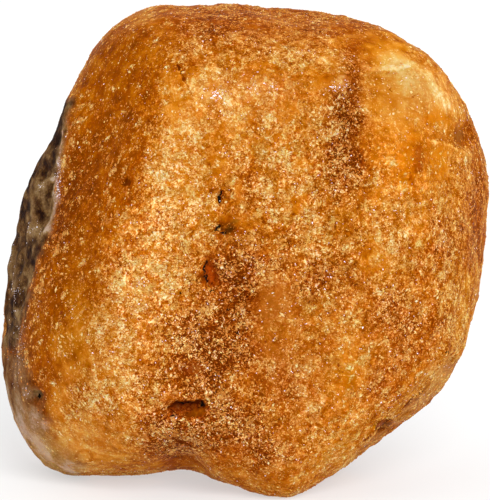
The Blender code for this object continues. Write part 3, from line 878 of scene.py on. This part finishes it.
# Painted shadow in the pits and along their walls, very dark: middle, half sizes in pixels, turn
paintedPitShadow = {
    "slit top": (219.5, 193.8, 1.3, 2.4, 0), "slit": (219.5, 199.5, 2.2, 3.6, 0),
    "round left": (216.4, 227.6, 1.8, 3.2, 30), "round foot": (222.5, 232.8, 2.6, 1.7, 0),
    "crescent top": (205.2, 264.0, 0.85, 4.0, 14), "crescent side": (204.0, 270.5, 0.8, 3.4, 0),
    "crescent foot": (206.6, 279.6, 1.15, 5.4, -18), "crescent end": (211.0, 289.6, 1.2, 1.2, 0),
    "wedge right": (202.6, 403.6, 3.1, 2.4, 25), "wedge top": (185.0, 402.0, 9.0, 0.8, -3),
    "wedge left": (172.0, 415.0, 3.4, 1.0, -20), "lip dot": (448.6, 352.4, 1.3, 1.1, 0),
    "spot": (180.4, 292.0, 1.4, 1.4, 0), "corner": (38.2, 396.0, 1.2, 2.4, 30),
    "valley dot": (226.5, 308.5, 1.4, 1.2, 30), "lower valley dot": (237.0, 331.5, 1.7, 1.1, 20),
}
# Thin dark lines: hairline crack lines, and painted shadow along the broken lip at the lower right and in
# the groove
cracksAndShadowLines = {
    "upper hairline": (390.0, 87.0, 3.6, 0.8, 45), "right hairline": (413.5, 96.0, 4.4, 0.8, -40),
    "lip line top": (431.5, 377.0, 9.0, 1.1, -52), "lip line": (421.5, 391.5, 7.5, 1.4, -62),
    "lip line middle": (411.0, 402.5, 9.0, 1.5, -40), "lip line foot": (392.0, 420.5, 11.0, 1.5, -33),
    "lip line end": (372.0, 435.5, 11.0, 1.5, -42), "crack": (161.5, 421.0, 5.5, 0.9, -42),
    "groove": (183.5, 78.0, 1.3, 17.0, -24), "hollow foot": (459.5, 146.0, 5.0, 1.8, 20),
}
# Round marks that show as a dark line round a flat middle
rings = {"bubble": (82.0, 458.5, 8.0, 7.0, -25)}
# Glassy red amber inside the pits
embers = {
    "crescent": (210.6, 274.5, 5.4, 14.0, -9), "wedge": (182.5, 407.6, 14.5, 6.2, -10),
    "wedge end": (198.0, 404.8, 6.0, 3.2, -10), "valley edge": (247.5, 294.0, 2.2, 9.0, -8),
    "slit": (221.5, 196.0, 1.8, 5.0, 0),
}
# Patches of one colour
stainLook = {"share": 0.75, "wander": 1.2, "edge": (1.6, 0.5)}
stains = {
    "#C86208": {"crescent left": (201.6, 266.5, 1.8, 8.0, -8), "slit right": (223.4, 199.5, 1.3, 4.6, 0),
        "slit left": (216.8, 195.0, 1.2, 3.6, 10)},
    "#742404": {"crescent top": (209.5, 257.0, 5.0, 3.0, 0),
        "crescent ring": (217.0, 274.0, 2.2, 14.0, -8), "left valley": (191.0, 368.0, 12.0, 5.0, 0)},
    "#BE4C06": {"crescent heart": (211.2, 273.0, 3.8, 10.5, -9)},
    "#8A3004": {"crescent left wall": (205.4, 274.0, 2.0, 12.0, -9)},
    "#D87A08": {"pocket": (436.0, 117.0, 11.0, 7.0, 15), "under the ridge": (438.0, 160.0, 9.0, 14.0, 5)},
    "#B4600A": {"wedge foot": (195.0, 412.0, 9.0, 2.4, -12)},
    "#965C1A": {"rim hollow": (461.0, 134.0, 4.6, 6.4, 0)},
    "#8A3C0C": {"rim patch": (420.0, 156.0, 3.6, 11.0, 0)},
    "#54380E": {"round pit": (228.6, 228.0, 6.0, 3.8, 5),
        "over the round pit": (232.0, 221.0, 4.0, 1.6, 0)},
    "#4E1606": {"wedge": (180.5, 407.0, 12.0, 4.8, -10), "wedge top": (184.0, 402.6, 15.0, 2.0, -3),
        "flank pit": (124.6, 182.4, 1.5, 1.3, 0)},
    "#70664E": {"corner": (35.0, 393.0, 4.0, 4.0, 30)},
    "#9A8C7A": {"wedge spot": (172.7, 416.4, 2.2, 1.4, 0)},
}


def storeStains():
    # A colour attribute: each stain's colour times its share, laid over those before it
    total = np.zeros((len(px), 4))
    strayed = px + stainLook["wander"] * pitEdge, py + stainLook["wander"] * ragged
    for code, marks in stains.items():
        off = np.min([offMiddle(*strayed, mark) for mark in marks.values()], axis=0)
        share = (stainLook["share"] * front * between(off, *stainLook["edge"]))[:, None]
        total = total * (1.0 - share) + share * np.array((*colour(code, amber["light"])[:3], 1.0))
    layer = body.data.attributes.new("stain", "FLOAT_COLOR", "POINT")
    layer.data.foreach_set("color", total.astype(np.float32).ravel())


# Cream-coloured amber: broken edges and cloudy streaks
creams = {
    "chip left": (366.5, 66.5, 5.5, 3.4, 20), "chip": (385.0, 66.8, 13.0, 3.0, -6),
    "chip right": (402.0, 66.0, 8.0, 2.4, -12), "cloud": (444.0, 98.0, 7.0, 14.0, -30),
    "ridge left": (434.0, 140.5, 9.0, 1.7, 12), "ridge": (452.0, 145.5, 9.0, 1.6, 24),
    "ridge right": (469.0, 153.0, 8.0, 1.5, 20), "hollow edge": (447.0, 128.0, 1.6, 6.0, 10),
    "over the band": (325.5, 60.5, 8.0, 3.4, -10), "upper left chip": (208.0, 67.5, 4.0, 2.4, -20),
    "band spot": (342.0, 79.0, 7.0, 4.0, -10), "pit crumb": (224.4, 227.0, 2.8, 2.0, 0),
    "wedge spot": (172.5, 416.5, 3.0, 1.6, 0), "over the wedge": (164.0, 397.0, 6.0, 4.0, -20),
    "under the wedge": (166.0, 422.0, 3.0, 2.0, -10), "left spot": (112.0, 372.0, 3.0, 2.0, 0),
    "lip crumb": (435.0, 367.0, 3.6, 3.0, 0), "low crumb": (354.0, 415.0, 4.0, 3.0, 0),
}


def facePlaces(finish, spots):
    # Pixels right and up of the body's middle, on its middle plane, as the x and y of a vector
    turn = leanBack()
    parts = {}
    for name, way in (("X", 0), ("Y", 2)):
        dot = finish.vector("DOT_PRODUCT", {0: spots, 1: tuple(turn[:, way])}, "Value")
        parts[name] = (dot - float(np.array(view["middle"]) @ turn[:, way])) * (1.0 / view["pixel"])
    return finish.node("ShaderNodeCombineXYZ", values=parts)


def wandering(finish, places, spots):
    # The places moved a little by a noise's colours, so that no mark keeps an even outline
    colours = finish.noise(spots, *crustNoise["stray"], out="Color")
    offset = finish.vector("SUBTRACT", {0: colours, 1: (0.5, 0.5, 0.5)})
    return finish.vector("MULTIPLY_ADD", {0: offset, 1: (strayPixels, strayPixels, 0.0), 2: places})


def nearestMark(finish, places, marks):
    # Each Mapping node turns its mark into a round one of size one: the distance to the nearest middle
    swell = (view["distance"] - view["faceNearer"]) / view["distance"]
    columns, rows = pixelMiddle()
    middleX, middleY = view["middlePixel"]
    nearest = None
    for x, y, halfWidth, halfHeight, turn in marks.values():
        place = (columns + (x - columns) * swell - middleX, middleY - rows - (y - rows) * swell, 0.0)
        own = finish.node("ShaderNodeMapping", {"vector_type": "TEXTURE"},
                          {"Vector": places, "Location": place, "Rotation": (0.0, 0.0, np.radians(-turn)),
                           "Scale": (halfWidth, halfHeight, 1.0)})
        off = finish.vector("LENGTH", {0: own}, "Value")
        nearest = off if nearest is None else nearest.maths("MINIMUM", off)
    return nearest


def markShare(finish, places, marks, edge):
    # 1 inside the marks, and 0 at the back
    off = nearestMark(finish, places, marks) + edge
    return (1.0 - finish.step(off, 0.7, 1.3)) * finish.share("front")


def crustPart(finish, spots, name):
    # One kind of unevenness, on both sides of 0
    return finish.noise(spots, *crustNoise[name]) - 0.5


def summed(pair, share):
    # The first value, and the second times the share
    return pair[0] + pair[1] * share


def bodyFinish():
    # A lightness is summed up from the skin's numbers, noises and marks, and goes through the ramps
    finish = Finish("weathered amber")
    spots = finish.places()
    tone, fleck, brown, coarse = [finish.share(name) for name in ("tone", "fleck", "brown", "coarse")]
    pit, rough, dirt, front = [finish.share(name) for name in ("pit", "rough", "dirt", "front")]
    look, pink = bodyLook, bodyLook["pink"]
    contrast, inBrown, least, lessCoarse = look["grain"]
    # Grains, worms of grains, small clumps and broad patches
    fine, clumps, patches = [crustPart(finish, spots, name) for name in ("fine", "clumps", "patches")]
    worms = 0.55 - finish.step(abs(crustPart(finish, spots, "worms")), 0.0, 0.11)
    covered = finish.step(clumps + patches * look["covered"][0], *look["covered"][1:])
    crumbly = fleck * summed((look["bare"], 1.0 - look["bare"]), covered) * (1.0 - pit)
    strength = (crumbly * (1.0 + brown * inBrown) + least) * (1.0 - coarse * lessCoarse)
    salted = fine + (fine * fine - 0.01) * (look["salt"][0] - tone * look["salt"][1])
    tone = tone + patches * summed(look["patches"], coarse)
    tone = tone + clumps * summed(look["clumps"], fleck) * (1.0 - pit)
    tone = tone + (salted * contrast + worms * look["worms"]) * strength
    sparse = finish.step(finish.noise(spots, *crustNoise["sparse"]), 0.585, 0.68)
    clusters = finish.step(finish.noise(spots, *crustNoise["clusters"]), 0.54, 0.62)
    clusters = clusters * coarse * summed(look["clustered"], fleck)
    specks = sparse * summed(look["sparse"], coarse) + clusters * look["clusters"]
    # The pits' insides are darkened as painted shade
    tone = tone + specks * (1.0 - pit) + pit * look["pit"]
    still = facePlaces(finish, spots)
    face = wandering(finish, still, spots)
    ringLine = 1.0 - finish.step(abs(nearestMark(finish, still, rings) - 1.0), 0.08, 0.34)
    # Thin dark lines, partly painted shadow along the broken lip and in the groove
    tone = tone + markShare(finish, face, cracksAndShadowLines, fine * 1.6) * look["cracksAndShadowLines"]
    tone = tone + ringLine * front * look["rings"]
    cream = markShare(finish, face, creams, fine * 3.0) * (0.8 + clumps + fine)
    tone = tone + cream * look["creams"]
    gold, crust = finish.ramp(tone, amber["goldStops"]), finish.ramp(tone, amber["crustStops"])
    pinkness = crumbly * pink["crumbs"] + sparse * summed(pink["sparse"], coarse)
    pinkness = pinkness + clusters * pink["clusters"] + cream * pink["creams"]
    pinkness = pinkness + finish.share("pinkness") * pink["skin"]
    shade = finish.mix(pinkness.maths("MINIMUM", 1.0), gold, crust)
    glassy = finish.ramp(0.5 + fine * 1.3 + clumps * 0.8, amber["emberStops"])
    shade = finish.mix(markShare(finish, face, embers, fine * 2.5) * 0.9, shade, glassy)
    # The stains' shares darken what is under them, and their colours are added
    patchy = (0.7 + fine * 1.6 + clumps * 1.2).maths("MINIMUM", 1.0).maths("MAXIMUM", 0.0)
    shade = finish.mix(finish.share("stain", "Alpha") * patchy, shade, colour("#000000"))
    shade = finish.mix(patchy, shade, finish.share("stain", "Color"), "ADD")
    sideways = finish.vector("MULTIPLY", {0: spots, 1: relief["scarRun"]})
    dirtTone = 0.42 + rough * 0.13 + fine * 0.6
    dirtTone = dirtTone + crustPart(finish, sideways, "dirt") * (1.3 - rough * 0.25)
    shade = finish.mix(dirt, shade, finish.ramp(dirtTone, amber["scarStops"]))
    # The gain lifts the deeper colour painted on sides away from the key light back to their brightness
    shade = finish.vector("SCALE", {0: shade, "Scale": finish.share("gain")})
    # Painted shadow: a very dark colour in the pits, which the bump also lowers
    pitShadowShare = markShare(finish, face, paintedPitShadow, fine * 1.1)
    shade = finish.mix(pitShadowShare, shade, colour("#15100C"))
    matt, rises = amber["roughness"], amber["bump"]
    roughness = matt["plain"] + fine * matt["fine"] + coarse * matt["coarse"] + dirt * matt["dirt"]
    height = (fine * rises["fine"] + worms * rises["worms"]) * (crumbly + 0.15) + clumps * rises["clumps"]
    height = height + dirt * fine * rises["dirt"] + pitShadowShare * rises["paintedPitShadow"]
    finish.surface({"Base Color": shade, "Roughness": roughness, "Normal": finish.bump(height),
                    "Subsurface Weight": 1.0, "Subsurface Radius": amber["depth"], "Subsurface Scale": mm,
                    "IOR": amber["ior"], "Specular IOR Level": amber["gloss"]})
    return finish.material


storeStains()
body.data.materials.append(bodyFinish())
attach(body, "root")
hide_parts("amber_nugget")
print("body finished")

crumbs = {
    # piece: facing the camera from and to, count, half size in mm from and to, how tightly clumped, seed
    "pieces": {
        "front_grains": ((0.0, 1.2), 24000, (0.035, 0.08), 0.6, 7),
        "front_clumps": ((0.0, 1.2), 24000, (0.05, 0.13), 1.6, 8),
        "side_crumbs": ((-0.6, 0.0), 22400, (0.04, 0.13), 1.0, 9),
        "back_crumbs": ((-1.2, -0.6), 18400, (0.05, 0.14), 1.0, 10),
        "coarse_crumbs": ((-0.3, 1.2), 8500, (0.04, 0.15), 2.8, 11),
        # glints: flakes coloured white, which paint highlights
        "glints": ((-0.6, 1.2), 2600, (0.024, 0.068), 0.8, 12),
    },
    "clumpSize": 0.7,                # mm
    "stretch": (1.0, 2.2),           # how much longer than wide
    "flat": 0.65,                    # how high, as a share of the width
    "sunk": 0.35,                    # share of the half size below the surface
    "lift": (0.11, 0.10),            # how much paler than the skin, and its spread
    "coarseLift": (0.16, 0.11),
    "common": 0.5,                   # share of a crumb's lightness that is the same all over
    "besideScar": (12.0, 16.0, 2.0),  # coarse ones gather so many pixels off the scar: softness, how much
    "inDirt": 1.3, "glintsInDirt": 0.95,              # how fast they thin out in the dirt
    "least": (0.03, 0.04, 0.6),      # how dense fine crumbs, coarse crumbs and glints are everywhere
    "uneven": (0.75, 1.25),          # what each half size is multiplied by
    "small": 1.6,                    # above 1, small ones are more frequent than large ones
    "flankPink": 0.8,                # how much pinker the crumbs of the flank are than its skin
}
# Where the glints gather: white flakes whose colour is a painted highlight
glintMarks = {
    "left bump": (216, 93, 8, 5, 0, 150.0), "middle bump": (253, 84, 4, 10, 0, 60.0),
    "beside it": (274, 86, 12, 4, 0, 50.0), "band": (338, 86, 8, 4, -20, 90.0),
    "beside the pit": (240, 234, 4, 8, -20, 14.0), "over the valley": (253, 262, 9, 9, 0, 6.0),
    "rim": (463, 122, 5, 5, 0, 12.0), "hollow": (471, 140, 5, 4, 0, 14.0),
    "lip": (395, 392, 22, 14, -45, 3.0), "flank": (146, 152, 5, 4, 0, 14.0),
    "right foot": (300, 335, 40, 30, 0, 1.5), "scar": (23, 294, 3, 3, 0, 900.0),
    "corner": (28, 391, 3, 3, 0, 60.0), "grey lump": (37, 229, 5, 6, 0, 300.0),
    "scar lip": (59, 175, 3, 16, 0, 90.0), "scar middle": (45, 186, 4, 4, 0, 500.0),
    "low scar": (20, 300, 5, 40, 0, 90.0),
}


def scattered(count, chooser, weight):
    # Points spread over the skin's triangles, by area times weight
    triangles = np.concatenate([quads[:, (0, 1, 2)], quads[:, (0, 2, 3)]])
    corner = shaped[triangles]
    area = np.linalg.norm(np.cross(corner[:, 1] - corner[:, 0], corner[:, 2] - corner[:, 0]), axis=1)
    total = np.cumsum(area * weight[triangles].mean(axis=1))
    pick = triangles[np.searchsorted(total, chooser.uniform(0.0, total[-1], count))]
    a, b = chooser.uniform(size=(2, count))
    a, b = np.where(a + b > 1.0, 1.0 - a, a), np.where(a + b > 1.0, 1.0 - b, b)
    return pick, np.stack([1.0 - a - b, a, b], axis=1)


octahedron = np.array([(0, 2, 4), (2, 1, 4), (1, 3, 4), (3, 0, 4),
                       (2, 0, 5), (1, 2, 5), (3, 1, 5), (0, 3, 5)])


def crumbPiece(name, sector, count, sizes, clumped, seed, finish):
    # Octahedra stretched along a random way in the surface: six tips at plus and minus each half size
    chooser = np.random.default_rng(seed)
    network = roughNoise(shaped, crumbs["clumpSize"], seed * 10 + 1, 2)
    offScar, softness, more = crumbs["besideScar"]
    besideScar = more * leftOf(scar["edge"], px - offScar, py, softness)
    fineLeast, coarseLeast, glintLeast = crumbs["least"]
    weights = {"coarse_crumbs": (coarse**1.5 * (1.0 + besideScar) + coarseLeast) * (1.0 - dirt),
               "glints": glintLeast + fleck + front * blots(px, py, glintMarks)}
    weight = weights.get(name, fineLeast + fleck)
    thinning = crumbs["glintsInDirt" if name == "glints" else "inDirt"]
    weight = weight * np.exp(clumped * network) * (1.0 - pitShade) * clipped(1.0 - thinning * dirt)
    weight *= (facing >= sector[0]) * (facing < sector[1])
    pick, share = scattered(count, chooser, weight)
    middle = (shaped[pick] * share[..., None]).sum(axis=1)
    up = (shapedNormals[pick] * share[..., None]).sum(axis=1)
    up /= np.linalg.norm(up, axis=1, keepdims=True)
    along = np.cross(up, chooser.normal(size=(count, 3)))
    along /= np.linalg.norm(along, axis=1, keepdims=True)
    across = np.cross(up, along)
    low, high = sizes
    half = low * (high / low) ** (chooser.uniform(size=count) ** crumbs["small"])
    stretch = chooser.uniform(*crumbs["stretch"], count)
    axes = np.stack([along * (half * stretch)[:, None], across * half[:, None],
                     up * (half * crumbs["flat"])[:, None]], axis=1)
    axes = axes * chooser.uniform(*crumbs["uneven"], (count, 3, 1))
    tips = np.stack([axes, -axes], axis=2).reshape(count, 6, 3)
    middle = middle - up * (half * crumbs["sunk"] * crumbs["flat"])[:, None]
    points = (middle[:, None] + tips).reshape(-1, 3)
    points[:, 2] = np.maximum(points[:, 2], 0.0)
    faces = (octahedron[None] + 6 * np.arange(count)[:, None, None]).reshape(-1, 3)
    side = int(np.ceil(np.sqrt(count)))
    cell = np.stack([np.arange(count) % side, np.arange(count) // side], axis=1)
    corner = np.array([(0.15, 0.15), (0.85, 0.15), (0.15, 0.85)])
    flat = ((cell[:, None, None] + corner[None, None]) / side).repeat(8, axis=1)
    piece = meshFrom(name, points, faces, flat.reshape(-1, 2), smooth=False)
    own = (tone[pick] * share).sum(axis=1)
    ground = own + crumbs["common"] * (plain["tone"] - own)
    lift, spread = crumbs["coarseLift" if name == "coarse_crumbs" else "lift"]
    storeShare(piece, "tone", np.repeat(ground + lift + spread * chooser.normal(size=count), 6))
    pink = (clipped(pinkness + crumbs["flankPink"] * flankShare)[pick] * share).sum(axis=1)
    storeShare(piece, "pinkness", np.repeat(pink, 6))
    piece.data.materials.append(finish)
    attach(piece, "root")
    print(name, count, "crumbs")


def crumbFinish():
    # The same ramps as the body's, from each crumb's own lightness and two noises
    finish = Finish("pale resin crumbs")
    spots = finish.places()
    patches, clumps = [crustPart(finish, spots, name) for name in ("patches", "clumps")]
    tone = finish.share("tone") + patches * 0.42 + clumps * 0.4
    gold, crust = finish.ramp(tone, amber["goldStops"]), finish.ramp(tone, amber["crustStops"])
    shade = finish.mix(0.5 + finish.share("pinkness") * 0.5, gold, crust)
    finish.surface({"Base Color": shade, "Roughness": 0.4, "IOR": amber["ior"], "Specular IOR Level": 0.04,
                    "Subsurface Weight": 0.5, "Subsurface Radius": amber["depth"],
                    "Subsurface Scale": mm * 0.2})
    return finish.material


def glintFinish():
    # Flakes between white and a faint violet, whose colour paints highlights; they have a real gloss as
    # well
    finish = Finish("flakes painted as glints")
    grain = finish.noise(finish.places(), 8.0, 1.0)
    shade = finish.mix(grain, colour("#FFFFFF"), colour("#F2E6FF"))
    finish.surface({"Base Color": shade, "Roughness": 0.25,
                    "IOR": amber["ior"], "Specular IOR Level": 0.5})
    return finish.material


shapedNormals = pointNormals(shaped, quads)
crumbLook, glintLook = crumbFinish(), glintFinish()
for name, values in crumbs["pieces"].items():
    crumbPiece(name, *values, glintLook if name == "glints" else crumbLook)

studio = {
    "floor": 6.0,                    # m, half its side
    "floorColours": ("#AEAEAE", "#A8A8A8"),
    "floorGlow": 0.52,               # the table is lit a little from below, which keeps the shadow pale
    "sky": 0.84,
    "key": (3.0, 28.0, 14.0, 30.0),  # strength, height and turn to the right in degrees, spread in degrees
}


def tableTop():
    # A square of matt table at height 0
    finish = Finish("matt white table")
    grain = finish.noise(finish.places(), 0.02, 3.0)
    shade = finish.mix(grain * 0.5, *[colour(code) for code in studio["floorColours"]])
    finish.surface({"Base Color": shade, "Roughness": 0.9, "Specular IOR Level": 0.1,
                    "Emission Color": (1.0, 1.0, 1.0, 1.0), "Emission Strength": studio["floorGlow"]})
    corners = np.array([(-1, -1, 0), (1, -1, 0), (1, 1, 0), (-1, 1, 0)]) * studio["floor"] / mm
    floor = meshFrom("table", corners, np.array([(0, 1, 2, 3)]), smooth=False)
    floor.data.materials.append(finish.material)


def lights():
    # A white world, and one broad sun that its height and its turn place
    world = bpy.data.worlds.new("white room")
    world.use_nodes = True
    sky = world.node_tree.nodes["Background"]
    sky.inputs["Color"].default_value = (1.0, 1.0, 1.0, 1.0)
    sky.inputs["Strength"].default_value = studio["sky"]
    bpy.context.scene.world = world
    strength, height, turn, spread = studio["key"]
    key = bpy.data.objects.new("key light", bpy.data.lights.new("key light", "SUN"))
    key.data.energy, key.data.angle = strength, np.radians(spread)
    h, t = np.radians(height), np.radians(turn)
    toward = Vector((np.sin(t) * np.cos(h), -np.cos(t) * np.cos(h), np.sin(h)))
    key.rotation_mode = "QUATERNION"
    key.rotation_quaternion = toward.to_track_quat("Z", "Y")
    bpy.context.scene.collection.objects.link(key)
    bpy.context.scene.view_settings.view_transform = "Standard"


def camera():
    # Square to the broad face, as far off as the view says, with the picture's long side on the sensor
    centreX, centreZ = pictureCentre()
    turn = leanBack()
    eye = np.array(view["middle"]) + turn @ np.array((centreX, -view["distance"], centreZ))
    data = bpy.data.cameras.new("camera")
    data.sensor_width = view["sensor"]
    data.lens = view["sensor"] * view["distance"] / (max(view["picture"]) * view["pixel"])
    data.clip_start, data.clip_end = view["clip"]
    seat = bpy.data.objects.new("camera", data)
    seat.location = Vector(eye * mm)
    seat.rotation_mode = "QUATERNION"
    seat.rotation_quaternion = Vector(turn @ np.array((0.0, -1.0, 0.0))).to_track_quat("Z", "Y")
    bpy.context.scene.collection.objects.link(seat)
    bpy.context.scene.camera = seat


tableTop()
lights()
camera()
print("studio ready")
